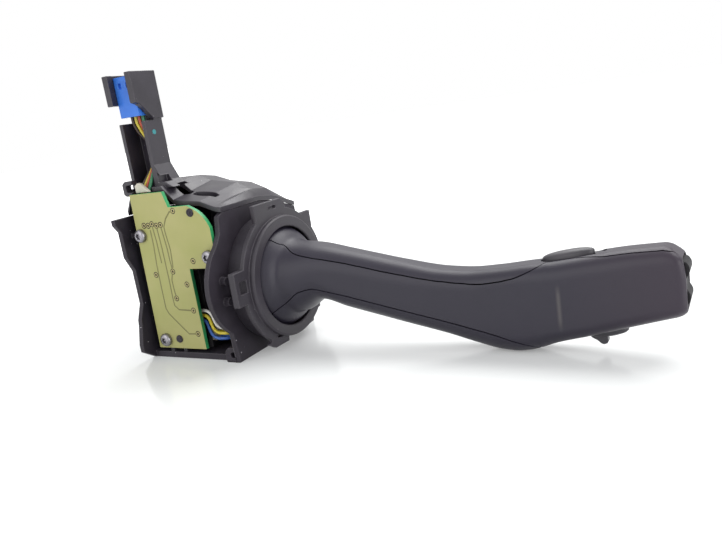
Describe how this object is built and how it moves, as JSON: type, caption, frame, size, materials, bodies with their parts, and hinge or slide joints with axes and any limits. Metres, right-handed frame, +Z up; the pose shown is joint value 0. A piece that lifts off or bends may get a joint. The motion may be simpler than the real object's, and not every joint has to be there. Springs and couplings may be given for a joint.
{
  "type": "steering column stalk switch",
  "caption": "Wiper stalk switch: boxy housing with a side circuit board, a cable duct with a plug on top, a round bezel and a swinging lever with slide, push button and tip rocker.",
  "frame": {"origin": "middle of the part's footprint, on the surface that the housing and the lever's belly stand on", "axes": "+X along the lever from the housing to its tip, +Z up with the cable duct, -Y out of the side that the circuit board closes"},
  "size_m": [0.192, 0.059, 0.1068],
  "materials": {
    "housing_plastic": "moulded charcoal nylon",
    "cover_plastic": "moulded charcoal nylon",
    "bezel_plastic": "moulded charcoal nylon",
    "board_green": "circuit board with solder mask",
    "screw_steel": "zinc plated",
    "plug_blue": "moulded",
    "terminal_tin": "tinned brass",
    "header_plastic": "natural nylon",
    "bracket_plastic": "glass filled nylon",
    "track_plastic": "acetal",
    "pin_steel": "ground",
    "spring_steel": "drawn wire",
    "wire_brown": "insulation",
    "wire_yellow": "insulation",
    "wire_red": "insulation",
    "wire_green": "insulation",
    "wire_white": "insulation",
    "wire_blue": "insulation",
    "lever_plastic": "fine grained charcoal",
    "control_plastic": "satin charcoal"
  },
  "bodies": {
    "switch_body": {"housing": "housing_plastic", "duct_cover": "cover_plastic", "bezel_ring": "bezel_plastic", "circuit_board": "board_green", "board_screws": "screw_steel", "connector_body": "plug_blue", "connector_terminals": "terminal_tin", "board_header": "header_plastic", "swivel_bracket": "bracket_plastic", "detent_track": "track_plastic", "wire_brown": "wire_brown", "wire_yellow": "wire_yellow", "wire_red": "wire_red", "wire_green": "wire_green", "lever_header": "header_plastic", "wire_clip": "header_plastic", "loop_white": "wire_white", "loop_blue": "wire_blue", "loop_yellow": "wire_yellow"},
    "carrier": {"swivel_carrier": "track_plastic", "pivot_pins": "pin_steel", "detent_plunger": "pin_steel", "detent_spring": "spring_steel"},
    "lever": {"lever_fork": "bracket_plastic", "pull_pin": "pin_steel", "lever_front_shell": "lever_plastic", "lever_rear_shell": "lever_plastic", "lever_board": "board_green", "lever_switches": "control_plastic"},
    "slide": {"interval_slide": "control_plastic"},
    "button": {"reset_button": "control_plastic"},
    "rocker": {"tip_rocker": "control_plastic"}
  },
  "joints": [
    {"name": "wiper_select", "type": "hinge", "parent": "switch_body", "child": "carrier", "pos_m": [-0.0525, 0.0039, 0.0258], "axis": [0, -1, 0], "range_deg": [-5, 15]},
    {"name": "wash_pull", "type": "hinge", "parent": "carrier", "child": "lever", "pos_m": [-0.0525, 0.0039, 0.0258], "axis": [0, 0, 1], "range_deg": [-5, 7], "stiffness_Nm_per_rad": 0.9},
    {"name": "interval_slide", "type": "slide", "parent": "lever", "child": "slide", "axis": [0.9923, 0, 0.1236], "range_m": [0, 0.003]},
    {"name": "reset_press", "type": "slide", "parent": "lever", "child": "button", "axis": [-0.2402, 0, 0.9707], "range_m": [0, 0.0012], "stiffness_N_per_m": 350, "springref_m": -0.0006},
    {"name": "tip_rock", "type": "hinge", "parent": "lever", "child": "rocker", "pos_m": [0.0895, 0.0039, 0.0219], "axis": [0, 1, 0], "range_deg": [-4, 4], "stiffness_Nm_per_rad": 0.06}
  ]
}
